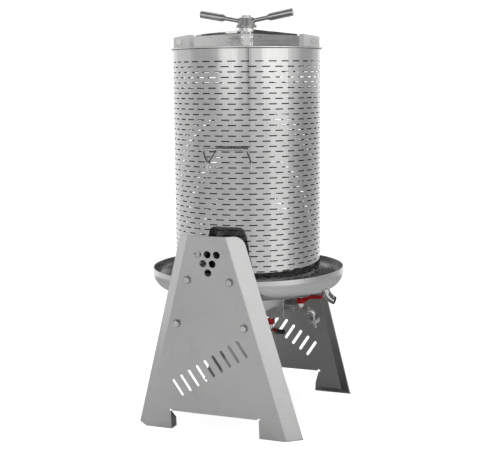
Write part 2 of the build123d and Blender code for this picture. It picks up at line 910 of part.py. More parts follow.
tee_centre = (0, water_y, inlet_z)
low_centre = (0, water_y, drain_z)
save(
    fitting(tee_centre, [(0, 0, tee_reach), (0, 0, -tee_reach), (tee_reach, 0, 0)]),
    "water_tee",
)
save(fitting(low_centre, [(0, 0, tee_reach), (tee_reach, 0, 0)]), "drain_elbow")
half_reach = tee_reach / 2 + 0.5
riser_low = (0, water_y, inlet_z + half_reach)
save(pipe(riser_low, (0, water_y, disc_top), pipe_radius, pipe_bore), "water_riser")
save(
    pipe(
        (0, water_y, drain_z + half_reach),
        (0, water_y, inlet_z - half_reach),
        pipe_radius,
        pipe_bore,
    ),
    "drain_pipe",
)
inlet_socket = inlet_x + valve_left + pipe_socket_depth
drain_socket = drain_x + valve_left + pipe_socket_depth
save(
    pipe((half_reach, water_y, inlet_z), (inlet_socket, water_y, inlet_z), pipe_radius, pipe_bore),
    "inlet_pipe",
)
save(
    pipe((half_reach, water_y, drain_z), (drain_socket, water_y, drain_z), pipe_radius, pipe_bore),
    "drain_nipple",
)


def inlet_elbow():
    """Bent tube from the valve's outlet, turning down to the hose nut."""
    start = valve_right - pipe_socket_depth
    corner = valve_right + elbow_straight + elbow_bend
    path = FilletPolyline(
        (start, 0, 0), (corner, 0, 0), (corner, 0, -elbow_drop - elbow_bend), radius=elbow_bend
    )
    plane = Plane(origin=path @ 0, z_dir=path % 0)
    tube = sweep(plane * Circle(elbow_radius), path=path)
    tube -= sweep(plane * Circle(barb_radius), path=path)
    sleeve = Cylinder(pipe_radius, pipe_socket_depth) - Cylinder(elbow_radius, through)
    tube += Pos(start + pipe_socket_depth / 2, 0, 0) * along_x(sleeve)
    low = -elbow_drop - elbow_bend
    lip = ring(elbow_lip_radius, barb_radius, low, low + elbow_lip_thick)
    return tube + Pos(corner, 0, 0) * lip


def hose_nut():
    """Fluted union nut round the elbow's lip, hanging below the elbow."""
    low = -elbow_drop - elbow_bend
    nut = Cylinder(hose_nut_core, hose_nut_height)
    for place in PolarLocations(hose_nut_lobe_at, hose_nut_lobes):
        nut += place * Cylinder(hose_nut_lobe_radius, hose_nut_height)
    nut -= Cylinder(elbow_radius + hose_nut_gap, through)
    nut -= Cylinder(elbow_lip_radius + hose_nut_gap, hose_nut_height - 2 * hose_nut_wall)
    middle = low + hose_nut_rise - hose_nut_height / 2
    return Pos(valve_right + elbow_straight + elbow_bend, 0, middle) * nut


def barb(length, pitch, shaft, rib, bore):
    """A hose barb along -Z from z = 0, with saw-tooth ribs."""
    tail = Pos(0, 0, -length / 2) * Cylinder(shaft, length)
    for i in range(int(length / pitch) - 1):
        z = -length + barb_rib_start + i * pitch
        tail += Pos(0, 0, z + pitch / 4) * Cone(shaft, rib, pitch / 2)
    return tail - Cylinder(bore, block)


def hose_tail():
    """Hose barb whose collar is held inside the union nut."""
    low = -elbow_drop - elbow_bend - tail_gap
    tail = barb(barb_length, barb_rib_pitch, barb_radius, barb_rib, barb_bore)
    tail += ring(tail_collar_radius, barb_bore, -tail_collar_thick, 0)
    return Pos(valve_right + elbow_straight + elbow_bend, 0, low) * tail


outlet = inlet * Rot(elbow_turn, 0, 0)
save(outlet * inlet_elbow(), "inlet_elbow")
save(outlet * hose_nut(), "hose_nut")
save(outlet * hose_tail(), "hose_tail")
nozzle = barb(nozzle_length, nozzle_rib_pitch, nozzle_radius, nozzle_rib, barb_radius)
nozzle += ring(pipe_radius, barb_radius, 0, pipe_socket_depth)
save(Pos(drain_x + valve_right, water_y, drain_z) * Rot(0, -90, 0) * nozzle, "drain_nozzle")
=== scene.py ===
import json
import math

import bpy
from mathutils import Matrix, Vector


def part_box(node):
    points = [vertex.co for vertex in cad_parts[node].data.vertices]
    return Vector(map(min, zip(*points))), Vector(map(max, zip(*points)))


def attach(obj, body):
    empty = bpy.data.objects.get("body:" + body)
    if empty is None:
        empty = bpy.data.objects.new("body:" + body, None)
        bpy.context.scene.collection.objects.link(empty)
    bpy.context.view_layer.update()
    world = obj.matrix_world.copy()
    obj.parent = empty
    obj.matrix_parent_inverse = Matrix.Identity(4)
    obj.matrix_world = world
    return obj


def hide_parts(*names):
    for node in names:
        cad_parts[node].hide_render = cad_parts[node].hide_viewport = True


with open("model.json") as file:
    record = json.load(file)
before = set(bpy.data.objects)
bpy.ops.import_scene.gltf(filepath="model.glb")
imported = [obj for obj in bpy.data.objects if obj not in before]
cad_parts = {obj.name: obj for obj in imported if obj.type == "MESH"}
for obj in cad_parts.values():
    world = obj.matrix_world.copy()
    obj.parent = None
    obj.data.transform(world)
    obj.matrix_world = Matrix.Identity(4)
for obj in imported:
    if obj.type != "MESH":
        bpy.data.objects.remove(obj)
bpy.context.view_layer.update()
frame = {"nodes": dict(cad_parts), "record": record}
nodes = frame["nodes"]
scene = bpy.context.scene
MM = 0.001
UP = Vector((0, 0, 1))


# ------------------------------------------------------------------ camera
CAMERA_AT = Vector((1.2873, -3.2757, 1.0885))
CAMERA_TURN = math.radians(21.351)
CAMERA_PITCH = 0.1345
CAMERA_ROLL = -0.0080
CAMERA_LENS = 78.37
VIEW_SIDE = math.radians(21.454)


def make_camera():
    """The camera, turned about the vertical, tipped down and rolled a little."""
    sin_a, cos_a = math.sin(CAMERA_TURN), math.cos(CAMERA_TURN)
    sin_p, cos_p = math.sin(CAMERA_PITCH), math.cos(CAMERA_PITCH)
    sin_r, cos_r = math.sin(CAMERA_ROLL), math.cos(CAMERA_ROLL)
    right = Vector((cos_a, sin_a, 0))
    forward = Vector((-sin_a * cos_p, cos_a * cos_p, -sin_p))
    up = Vector((-sin_a * sin_p, cos_a * sin_p, cos_p))
    side = right * cos_r + up * sin_r
    top = up * cos_r - right * sin_r
    data = bpy.data.cameras.new("camera")
    data.lens = CAMERA_LENS
    data.sensor_width = 36
    data.sensor_fit = "HORIZONTAL"
    data.clip_start = 0.05
    data.clip_end = 100
    data.dof.use_dof = False
    camera = bpy.data.objects.new("camera", data)
    scene.collection.objects.link(camera)
    axes = Matrix((side, top, -forward)).transposed().to_4x4()
    camera.matrix_world = Matrix.Translation(CAMERA_AT) @ axes
    scene.camera = camera


make_camera()
scene.view_settings.view_transform = "Standard"
scene.view_settings.look = "None"


# ------------------------------------------------------------------ node helpers
class Graph:
    """A short way to write shader nodes."""

    def __init__(self, tree):
        self.tree = tree

    def node(self, kind, **settings):
        made = self.tree.nodes.new(kind)
        for key, value in settings.items():
            setattr(made, key, value)
        return made

    def put(self, socket, value):
        if isinstance(value, bpy.types.NodeSocket):
            self.tree.links.new(value, socket)
        else:
            socket.default_value = value

    def math(self, operation, a, b=0.0):
        made = self.node("ShaderNodeMath", operation=operation)
        self.put(made.inputs[0], a)
        self.put(made.inputs[1], b)
        return made.outputs[0]

    def step(self, value, low, high, out_low=0.0, out_high=1.0):
        """A smooth rise from out_low to out_high while value goes from low to high."""
        made = self.node("ShaderNodeMapRange", interpolation_type="SMOOTHSTEP")
        for index, item in enumerate((value, low, high, out_low, out_high)):
            self.put(made.inputs[index], item)
        return made.outputs[0]

    def noise(self, place, stretch, detail=3.0, rough=0.5):
        """Noise from 0 to 1; stretch is the number of blotches to the metre along each axis."""
        mapping = self.node("ShaderNodeMapping")
        self.put(mapping.inputs["Vector"], place)
        mapping.inputs["Scale"].default_value = stretch
        made = self.node("ShaderNodeTexNoise")
        made.inputs["Scale"].default_value = 1.0
        made.inputs["Detail"].default_value = detail
        made.inputs["Roughness"].default_value = rough
        self.put(made.inputs["Vector"], mapping.outputs[0])
        return made.outputs["Fac"]

    def blend(self, share, a, b):
        made = self.node("ShaderNodeMix", data_type="RGBA")
        self.put(made.inputs["Factor"], share)
        self.put(made.inputs["A"], a)
        self.put(made.inputs["B"], b)
        return made.outputs["Result"]

    def bump(self, height, strength, distance):
        made = self.node("ShaderNodeBump")
        made.inputs["Strength"].default_value = strength
        made.inputs["Distance"].default_value = distance
        self.put(made.inputs["Height"], height)
        return made

    def ramp(self, share, stops):
        made = self.node("ShaderNodeValToRGB")
        elements = made.color_ramp.elements
        for index, (place, value) in enumerate(stops):
            if index < 2:
                element = elements[index]
                element.position = place
            else:
                element = elements.new(place)
            element.color = (value, value, value, 1)
        self.put(made.inputs[0], share)
        return made.outputs[0]


def grey(value, tint=0.0):
    """A neutral colour, a little warmer with a positive tint."""
    return (value * (1 + tint), value, value * (1 - tint), 1)


def new_material(name):
    material = bpy.data.materials.new(name)
    material.use_nodes = True
    graph = Graph(material.node_tree)
    shader = material.node_tree.nodes["Principled BSDF"]
    return material, graph, shader


def round_axis(graph, place):
    """Coordinates that run round the vertical axis: (turn, distance from the axis, height)."""
    parts = graph.node("ShaderNodeSeparateXYZ")
    graph.put(parts.inputs[0], place)
    x, y, z = parts.outputs
    squared = graph.math("ADD", graph.math("MULTIPLY", x, x), graph.math("MULTIPLY", y, y))
    distance = graph.math("SQRT", squared)
    turn = graph.math("ARCTAN2", y, x)
    joined = graph.node("ShaderNodeCombineXYZ")
    for socket, value in zip(joined.inputs, (turn, distance, z)):
        graph.put(socket, value)
    return joined.outputs[0]


def facing_axis(graph, coords):
    """1 on surfaces that face the vertical axis, 0 on those that face away from it. It masks the
    painted shade on inner faces.
    """
    parts = graph.node("ShaderNodeVectorMath", operation="MULTIPLY")
    graph.put(parts.inputs[0], coords)
    parts.inputs[1].default_value = (1, 1, 0)
    unit = graph.node("ShaderNodeVectorMath", operation="NORMALIZE")
    graph.put(unit.inputs[0], parts.outputs[0])
    dot = graph.node("ShaderNodeVectorMath", operation="DOT_PRODUCT")
    graph.put(dot.inputs[0], unit.outputs[0])
    graph.put(dot.inputs[1], graph.node("ShaderNodeTexCoord").outputs["Normal"])
    return graph.step(dot.outputs["Value"], -0.15, -0.5)


# The painted shade patches seen through the holes in the legs: where each soft edge begins and ends,
# in metres.
SHADE_PATCH_LEFT = (-0.085, -0.062)
SHADE_PATCH_RIGHT = (0.03, 0.06)
SHADE_PATCH_LOW = (0.44, 0.46)
SHADE_PATCH_HIGH = (0.575, 0.59)
SHADE_OCCLUSION_REACH = 0.3
SHADE_OCCLUSION_OPENNESS = (0.75, 0.92)
FINE_BUMP = 0.2 * MM
BROAD_BUMP = 2 * MM


def painted_shade_behind_leg(graph, coords):
    """The mask of the painted shade: 1 on the two patches that look straight at the inner side of a
    leg, 0 elsewhere.
    """
    parts = graph.node("ShaderNodeSeparateXYZ")
    graph.put(parts.inputs[0], coords)
    x, y, z = parts.outputs
    across = graph.math("MULTIPLY", x, graph.math("MULTIPLY", graph.math("SIGN", y), -1.0))
    shade_patch = graph.step(across, *SHADE_PATCH_LEFT)
    shade_patch = graph.math("MULTIPLY", shade_patch, graph.step(across, *SHADE_PATCH_RIGHT, 1.0, 0.0))
    shade_patch = graph.math("MULTIPLY", shade_patch, graph.step(z, *SHADE_PATCH_LOW))
    return graph.math("MULTIPLY", shade_patch, graph.step(z, *SHADE_PATCH_HIGH, 1.0, 0.0))


def occlusion_of_painted_shade(graph):
    """1 where something stands close in front of the surface, 0 where it is open; it limits the
    painted shade behind the legs.
    """
    openness = graph.node("ShaderNodeAmbientOcclusion", samples=8)
    openness.inputs["Distance"].default_value = SHADE_OCCLUSION_REACH
    return graph.step(openness.outputs["AO"], *SHADE_OCCLUSION_OPENNESS, 1.0, 0.0)


def steel(
    name, tone, rough, grain, grain_bump=0.1, cloud=4.0, cloud_depth=0.06, turned=False,
    grime=None, grime_depth=0.0, wave=0.0, tint=0.006, inside=0.0, above=None, streaks=0.0,
    shaded=0.0,
):
    """Stainless steel. grain is the stretch of its brushed lines, cloud the number of its faint
    blotches to the metre, wave the strength of its slow unevenness. inside paints shade: it
    darkens surfaces that face the axis, and those past the two heights in above more. shaded
    paints shade on the patches behind the legs, on a turned surface only while something
    stands close in front of them. streaks is the depth of upright rolling marks on a turned surface."""
    material, graph, shader = new_material(name)
    coords = graph.node("ShaderNodeTexCoord").outputs["Object"]
    lines_place = round_axis(graph, coords) if turned else coords
    lines = graph.noise(lines_place, grain, detail=4.0, rough=0.6)
    blotches = graph.noise(coords, (cloud, cloud, cloud), detail=4.0, rough=0.55)
    fine = graph.noise(coords, (cloud * 9, cloud * 9, cloud * 9), detail=3.0, rough=0.6)
    shade = graph.step(blotches, 0.3, 0.7, 1 - cloud_depth, 1 + cloud_depth * 0.5)
    shade = graph.math("MULTIPLY", shade, graph.step(lines, 0.3, 0.7, 0.97, 1.02))
    if grime:
        marks = graph.noise(coords, grime, detail=6.0, rough=0.7)
        shade = graph.math("MULTIPLY", shade, graph.step(marks, 0.55, 0.75, 1.0, 1 - grime_depth))
    # Painted shade: darken the faces that look towards the axis, and darken them more above the
    # heights in above.
    if inside:
        facing = facing_axis(graph, coords)
        shade = graph.math("MULTIPLY", shade, graph.step(facing, 0.0, 1.0, 1.0, 1 - inside))
        if above:
            height = graph.node("ShaderNodeSeparateXYZ")
            graph.put(height.inputs[0], coords)
            high = graph.math("MULTIPLY", facing, graph.step(height.outputs[2], *above))
            shade = graph.math("MULTIPLY", shade, graph.step(high, 0.0, 1.0, 1.0, 1 - inside))
    # Painted shade: darken the patches behind the legs, on a turned surface only where ambient
    # occlusion finds something close.
    if shaded:
        shade_patch = painted_shade_behind_leg(graph, coords)
        if turned:
            shade_patch = graph.math("MULTIPLY", shade_patch, occlusion_of_painted_shade(graph))
        shade = graph.math("MULTIPLY", shade, graph.step(shade_patch, 0.0, 1.0, 1.0, 1 - shaded))
    if streaks:
        rolled = graph.noise(lines_place, (42, 1, 0.35), detail=5.0, rough=0.7)
        shade = graph.math("MULTIPLY", shade, graph.step(rolled, 0.3, 0.7, 1 - streaks, 1.03))
    colour = graph.node("ShaderNodeCombineColor")
    for socket, value in zip(colour.inputs, grey(tone, tint)):
        graph.put(socket, graph.math("MULTIPLY", shade, value))
    graph.put(shader.inputs["Base Color"], colour.outputs[0])
    shader.inputs["Metallic"].default_value = 1.0
    spread = graph.math("ADD", graph.step(lines, 0.3, 0.7, -0.03, 0.03), rough)
    spread = graph.math("ADD", spread, graph.step(blotches, 0.35, 0.75, 0.0, 0.22 * rough))
    spread = graph.math("ADD", spread, graph.step(fine, 0.5, 0.8, 0.0, 0.15 * rough))
    graph.put(shader.inputs["Roughness"], spread)
    brushed = graph.bump(lines, grain_bump, FINE_BUMP)
    first = brushed
    if streaks:
        panels = graph.noise(lines_place, (16, 1, 0.25), detail=3.0, rough=0.6)
        first = graph.bump(panels, 0.25, BROAD_BUMP)
        graph.put(brushed.inputs["Normal"], first.outputs[0])
    if wave:
        slow = graph.noise(coords, (7, 7, 5), detail=1.0)
        graph.put(first.inputs["Normal"], graph.bump(slow, wave, BROAD_BUMP).outputs[0])
    graph.put(shader.inputs["Normal"], brushed.outputs[0])
    return material


def rubber(name, tone, rough):
    material, graph, shader = new_material(name)
    coords = graph.node("ShaderNodeTexCoord").outputs["Object"]
    dust = graph.noise(coords, (9, 9, 4), detail=5.0, rough=0.65)
    pores = graph.noise(coords, (900, 900, 900), detail=2.0)
    share = graph.step(dust, 0.45, 0.75)
    graph.put(shader.inputs["Base Color"], graph.blend(share, grey(tone), grey(tone * 2.2)))
    graph.put(shader.inputs["Roughness"], graph.step(dust, 0.3, 0.7, rough - 0.08, rough + 0.12))
    graph.put(shader.inputs["Normal"], graph.bump(pores, 0.25, FINE_BUMP).outputs[0])
    return material


def dipped_plastic(name, dark, light):
    """The soft coating on the valve levers: slightly uneven gloss, paler where hands rub it."""
    material, graph, shader = new_material(name)
    coords = graph.node("ShaderNodeTexCoord").outputs["Object"]
    patches = graph.noise(coords, (40, 40, 40), detail=4.0, rough=0.6)
    skin = graph.noise(coords, (700, 700, 700), detail=2.0)
    graph.put(shader.inputs["Base Color"], graph.blend(graph.step(patches, 0.35, 0.7), dark, light))
    graph.put(shader.inputs["Roughness"], graph.step(patches, 0.3, 0.7, 0.38, 0.55))
    shader.inputs["Specular IOR Level"].default_value = 0.25
    graph.put(shader.inputs["Normal"], graph.bump(skin, 0.2, FINE_BUMP).outputs[0])
    return material


MATERIALS = {
    # leg_steel: inside and above paint shade on the faces that look towards the axis, darker still
    # near the tray.
    "leg_steel": steel(
        "leg_steel", 0.67, 0.34, (3, 3, 260), 0.12, 3.0, 0.05,
        grime=(14, 14, 5), grime_depth=0.10, wave=0.05, inside=0.35, above=(0.36, 0.42),
    ),
    "fastener_steel": steel("fastener_steel", 0.80, 0.14, (300, 300, 300), 0.1, 60.0, 0.12),
    # A darker copy of the fastener steel: painted shade for the dark outlines round the bolt heads.
    "washer_steel_painted_shade": steel("washer_steel_painted_shade", 0.40, 0.20, (300, 300, 300), 0.1, 60.0, 0.12),
    # cradle_steel: inside paints shade on its inner faces, and shaded paints shade on the end plates
    # behind the legs.
    "cradle_steel": steel(
        "cradle_steel", 0.86, 0.28, (4, 4, 200), 0.12, 8.0, 0.1,
        grime=(20, 20, 9), grime_depth=0.15, inside=0.4, shaded=0.93,
    ),
    # tray_steel: inside paints shade on the inner faces of the tray.
    "tray_steel": steel(
        "tray_steel", 0.70, 0.22, (0.8, 260, 260), 0.04, 5.0, 0.05, turned=True, wave=0.03,
        inside=0.15, tint=0.004,
    ),
    "spout_steel": steel("spout_steel", 0.70, 0.10, (200, 200, 20), 0.05, 20.0, 0.05),
    "rod_steel": steel("rod_steel", 0.58, 0.22, (60, 60, 60), 0.1, 30.0, 0.1),
    "clamp_steel": steel("clamp_steel", 0.58, 0.28, (1.0, 500, 500), 0.1, 20.0, 0.08, turned=True),
    # basket_steel: shaded paints shade on the wall behind the legs while they stand close.
    "basket_steel": steel(
        "basket_steel", 0.66, 0.05, (2.5, 1.0, 150), 0.02, 6.0, 0.03, turned=True, wave=0.015,
        streaks=0.07, shaded=0.9,
    ),
    # A near-black copy of the basket steel for the inner faces: painted shade for the dim inside of
    # the basket.
    "basket_inside": steel("basket_inside", 0.10, 0.45, (2.5, 1.0, 150), 0.05, 6.0, 0.1, turned=True),
    "basket_trim_steel": steel("basket_trim_steel", 0.68, 0.12, (100, 100, 100), 0.04, 20.0, 0.05),
    "lid_steel": steel("lid_steel", 0.86, 0.22, (3, 3, 200), 0.1, 7.0, 0.05, wave=0.03),
    "shoe_steel": steel("shoe_steel", 0.93, 0.42, (3, 3, 200), 0.1, 9.0, 0.05),
    "rib_steel": steel(
        "rib_steel", 0.66, 0.09, (6, 6, 220), 0.06, 12.0, 0.06, wave=0.05,
        grime=(16, 16, 30), grime_depth=0.35,
    ),
    "handle_steel": steel("handle_steel", 0.62, 0.15, (120, 120, 300), 0.05, 30.0, 0.12),
    "pipe_steel": steel("pipe_steel", 0.80, 0.16, (150, 150, 150), 0.08, 30.0, 0.08),
    "fitting_nickel": steel("fitting_nickel", 0.78, 0.20, (400, 400, 400), 0.1, 60.0, 0.15),
    "bladder_rubber": rubber("bladder_rubber", 0.022, 0.55),
    "seal_rubber": rubber("seal_rubber", 0.03, 0.5),
    "nozzle_dark": rubber("nozzle_dark", 0.03, 0.4),
    "lever_red": dipped_plastic("lever_red", (0.36, 0.003, 0.006, 1), (0.52, 0.008, 0.012, 1)),
}


def slot_of(node):
    """The record's material slot of a CAD node."""
    for part in frame["record"]["subparts"]:
        if part["node"] == node:
            return part["material_slot"]
    return None


# ------------------------------------------------------------------ mesh helpers
def mesh_object(name, points, faces, material, smooth=True):
    mesh = bpy.data.meshes.new(name)
    mesh.from_pydata([tuple(p) for p in points], [], faces)
    mesh.polygons.foreach_set("use_smooth", [smooth] * len(faces))
    mesh.update()
    mesh.materials.append(material)
    made = bpy.data.objects.new(name, mesh)
    scene.collection.objects.link(made)
    return made


def place_piece(made, body, slot, *stands_for):
    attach(made, body)
    if stands_for:
        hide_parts(*stands_for)
    return made


# ------------------------------------------------------------------ slotted basket
SLOT_COUNT = 35
SLOT_ROWS = 44
SLOT_ROW_PITCH = 16 * MM
SLOT_TOP_Z = 1138 * MM
SLOT_FIRST_TURN = math.radians(-0.22)
SLOT_HALF = 11.6 * MM
SLOT_RADIUS = 1.75 * MM
CELL_SPLITS = 4
BASKET_SHEET = 1.5 * MM
INWARD_LIMIT = -0.5


def slot_outline():
    """The slot's outline in 16 points, clockwise from its top left: five along the top, three
    round the right end, and the same again along the bottom and round the left end. Each point
    also has the way into the hole."""
    half, end = SLOT_HALF, SLOT_RADIUS
    diagonal = math.sqrt(0.5)
    top = [((i / 2 - 1) * half, end, 0, -1) for i in range(5)]
    right = [
        (half + end * diagonal, end * diagonal, -diagonal, -diagonal),
        (half + end, 0, -1, 0),
        (half + end * diagonal, -end * diagonal, -diagonal, diagonal),
    ]
    first = top + right
    return first + [(-x, -z, -nx, -nz) for x, z, nx, nz in first]


def make_basket():
    """The basket's wall as sheet with every slot cut through it, built cell by cell."""
    low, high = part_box("basket_shell")
    outer = high.x
    inner = outer - BASKET_SHEET
    columns = SLOT_COUNT * CELL_SPLITS
    column_turn = 2 * math.pi / columns
    outline = slot_outline()
    count = len(outline)
    points, faces, normals = [], [], []
    known = {}

    def radial(turn):
        return Vector((math.sin(turn), -math.cos(turn), 0))

    def add(turn, radius, z):
        points.append(radial(turn) * radius + Vector((0, 0, z)))
        return len(points) - 1

    def grid(side, column, level, z):
        """A vertex that neighbouring cells share. side 0 is the outer surface, 1 the inner one."""
        key = (side, column % columns, level)
        if key not in known:
            turn = SLOT_FIRST_TURN + (column % columns) * column_turn
            known[key] = add(turn, (outer, inner)[side], z)
        return known[key]

    def face(side, corners):
        """A face of the curved surface, with normals straight out from the axis."""
        if side:
            corners = corners[::-1]
        faces.append(corners)
        for index in corners:
            out = Vector((points[index].x, points[index].y, 0)).normalized()
            normals.append(-out if side else out)

    def flat(corners, ways):
        faces.append(corners)
        normals.extend(ways)

    for row in range(SLOT_ROWS):
        z = SLOT_TOP_Z - row * SLOT_ROW_PITCH
        above, below = z + SLOT_ROW_PITCH / 2, z - SLOT_ROW_PITCH / 2
        for cell in range(SLOT_COUNT):
            centre = CELL_SPLITS * cell + (CELL_SPLITS // 2) * (row % 2)
            turn = SLOT_FIRST_TURN + centre * column_turn
            loops = []
            for side in (0, 1):
                top = [grid(side, centre + i, 2 * row, above) for i in range(-2, 3)]
                bottom = [grid(side, centre + i, 2 * row + 2, below) for i in range(-2, 3)]
                left = grid(side, centre - 2, 2 * row + 1, z)
                right = grid(side, centre + 2, 2 * row + 1, z)
                radius = (outer, inner)[side]
                s = [add(turn + x / outer, radius, z + dz) for x, dz, _, _ in outline]
                loops.append(s)
                for i in range(4):
                    face(side, [s[i], s[i + 1], top[i + 1], top[i]])
                    face(side, [s[8 + i], s[9 + i], bottom[3 - i], bottom[4 - i]])
                face(side, [s[4], s[5], top[4]])
                face(side, [s[5], s[6], right, top[4]])
                face(side, [s[6], s[7], bottom[4], right])
                face(side, [s[7], s[8], bottom[4]])
                face(side, [s[12], s[13], bottom[0]])
                face(side, [s[13], s[14], left, bottom[0]])
                face(side, [s[14], s[15], top[0], left])
                face(side, [s[15], s[0], top[0]])
            ways = []
            for x, _, nx, nz in outline:
                out = radial(turn + x / outer)
                along = Vector((-out.y, out.x, 0))
                ways.append(along * nx + Vector((0, 0, nz)))
            for i in range(count):
                j = (i + 1) % count
                corners = [loops[0][i], loops[1][i], loops[1][j], loops[0][j]]
                flat(corners, [ways[i], ways[i], ways[j], ways[j]])

    top_level, bottom_level = 0, 2 * SLOT_ROWS
    slots_top = SLOT_TOP_Z + SLOT_ROW_PITCH / 2
    slots_bottom = slots_top - SLOT_ROWS * SLOT_ROW_PITCH
    for column in range(columns):
        for side in (0, 1):
            face(side, [
                grid(side, column, top_level, slots_top),
                grid(side, column + 1, top_level, slots_top),
                grid(side, column + 1, "top", high.z),
                grid(side, column, "top", high.z),
            ])
            face(side, [
                grid(side, column, "bottom", low.z),
                grid(side, column + 1, "bottom", low.z),
                grid(side, column + 1, bottom_level, slots_bottom),
                grid(side, column, bottom_level, slots_bottom),
            ])
        top_order = ((0, 0), (0, 1), (1, 1), (1, 0))
        low_order = ((0, 0), (1, 0), (1, 1), (0, 1))
        flat([grid(side, column + i, "top", high.z) for side, i in top_order], [UP] * 4)
        flat([grid(side, column + i, "bottom", low.z) for side, i in low_order], [-UP] * 4)
    made = mesh_object("basket_slotted_wall", points, faces, MATERIALS["basket_steel"])
    # The inner faces get the near-black copy of the steel: painted shade for the dim inside of the
    # basket.
    made.data.materials.append(MATERIALS["basket_inside"])
    for polygon in made.data.polygons:
        outward = Vector((polygon.center.x, polygon.center.y, 0)).normalized()
        if polygon.normal.dot(outward) < INWARD_LIMIT:
            polygon.material_index = 1
    made.data.normals_split_custom_set([tuple(n) for n in normals])
    place_piece(made, "basket", "basket_steel", "basket_shell")


make_basket()


# ------------------------------------------------------------------ threaded rod
THREAD_PITCH = 3 * MM
THREAD_DEPTH = 1.3 * MM
THREAD_LEVELS = 6
THREAD_BELOW_DISC = 60 * MM
ROD_CHAMFER = 1.5 * MM
ROD_SIDES = 40


def make_rod():
    """The tie rod with its thread; the stretch hidden inside the bladder has no levels of its own."""
    low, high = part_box("tie_rod")
    radius = high.x
    around = ROD_SIDES
    rise = THREAD_PITCH / THREAD_LEVELS
    plain_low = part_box("bladder_clamp_ring")[1].z
    plain_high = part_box("bladder_top_disc")[0].z - THREAD_BELOW_DISC
    heights = []
    z = low.z
    while z < high.z:
        heights.append(z)
        z += plain_high - plain_low if abs(z - plain_low) < rise / 2 and z < plain_high else rise
    heights.append(high.z)
    points, faces = [], []
    for z in heights:
        for i in range(around):
            turn = 2 * math.pi * i / around
            phase = (z / THREAD_PITCH - i / around) % 1
            cut = THREAD_DEPTH * (1 - abs(2 * phase - 1))
            edge = min(z - low.z, high.z - z)
            limit = radius - max(0.0, ROD_CHAMFER - edge)
            r = min(radius - cut, limit)
            points.append((r * math.cos(turn), r * math.sin(turn), z))
    for level in range(len(heights) - 1):
        for i in range(around):
            j = (i + 1) % around
            a, b = level * around, (level + 1) * around
            faces.append([a + i, a + j, b + j, b + i])
    last = (len(heights) - 1) * around
    faces.append(list(range(around))[::-1])
    faces.append([last + i for i in range(around)])
    made = mesh_object("tie_rod_thread", points, faces, MATERIALS["rod_steel"], smooth=False)
    place_piece(made, "stand", "rod_steel", "tie_rod")


make_rod()


# ------------------------------------------------------------------ weld beads
WELD_RADIUS = 1.5 * MM
WELD_STEP = 1.6 * MM
FOOT_WELD_HEIGHT = 24 * MM
FOOT_WELD_SIDE = 4.2 * MM
BEAD_SIDES = 8
BEAD_RIPPLE = 0.14


def bead(name, path, radius, body, slot, closed=False):
    """A rippled weld bead along a path."""
    points, faces = [], []
    count = len(path)
    for k, centre in enumerate(path):
        before = path[k - 1] if k or closed else path[k]
        after = path[(k + 1) % count] if k < count - 1 or closed else path[k]
        along = (after - before).normalized()
        side = along.orthogonal().normalized()
        other = along.cross(side)
        taper = 1.0 if closed else min(1.0, 0.45 + 0.4 * min(k, count - 1 - k))
        size = radius * taper * (1.0 + BEAD_RIPPLE * math.cos(math.pi * k))
        for i in range(BEAD_SIDES):
            turn = 2 * math.pi * i / BEAD_SIDES
            points.append(centre + (side * math.cos(turn) + other * math.sin(turn)) * size)
    for k in range(count if closed else count - 1):
        a, b = k * BEAD_SIDES, ((k + 1) % count) * BEAD_SIDES
        for i in range(BEAD_SIDES):
            j = (i + 1) % BEAD_SIDES
            faces.append([a + i, a + j, b + j, b + i])
    if not closed:
        last = (count - 1) * BEAD_SIDES
        faces.append(list(range(BEAD_SIDES))[::-1])
        faces.append([last + i for i in range(BEAD_SIDES)])
    made = mesh_object(name, points, faces, MATERIALS[slot])
    place_piece(made, body, slot)


def circle_path(centre, radius, normal, step):
    """Points round a circle, about step apart."""
    count = max(12, 2 * round(math.pi * radius / step))
    side = normal.orthogonal().normalized()
    other = normal.cross(side)
    turns = [2 * math.pi * i / count for i in range(count)]
    return [centre + (side * math.cos(t) + other * math.sin(t)) * radius for t in turns]


def middle_of(places):
    return sum(places, Vector()) / len(places)


def lowest_places(node):
    """The places of a CAD node's vertices within a millimetre of its lowest level."""
    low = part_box(node)[0].z
    return [vertex.co for vertex in nodes[node].data.vertices if vertex.co.z < low + MM]


def handle_feet(node):
    """Centres of the two feet where a basket handle is welded on."""
    feet = lowest_places(node)
    middle = middle_of(feet)
    across = Vector((-middle.y, middle.x, 0))
    return [
        middle_of([place for place in feet if (place - middle).dot(across) * side > 0])
        for side in (-1, 1)
    ]


def weld_handles():
    """Two upright beads at each foot of each basket handle."""
    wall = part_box("basket_shell")[1].x
    count = int(FOOT_WELD_HEIGHT / WELD_STEP)
    for end in ("front", "back"):
        for number, foot in enumerate(handle_feet("basket_handle_" + end)):
            out = Vector((foot.x, foot.y, 0)).normalized()
            across = Vector((-out.y, out.x, 0))
            for side in (-1, 1):
                way = (out * wall + across * (side * FOOT_WELD_SIDE)).normalized()
                start = way * (wall + WELD_RADIUS / 2)
                path = [start + Vector((0, 0, foot.z + k * WELD_STEP)) for k in range(count)]
                name = f"handle_{end}_weld_{number}_{'left' if side < 0 else 'right'}"
                bead(name, path, WELD_RADIUS, "basket", "basket_trim_steel")


def weld_hub():
    """One bead round the foot of the lid's hub."""
    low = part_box("lid_hub")[0].z
    radius = max(place.to_2d().length for place in lowest_places("lid_hub"))
    path = circle_path(Vector((0, 0, low)), radius, UP, WELD_STEP)
    bead("hub_weld", path, WELD_RADIUS, "lid", "lid_steel", closed=True)


weld_handles()
weld_hub()


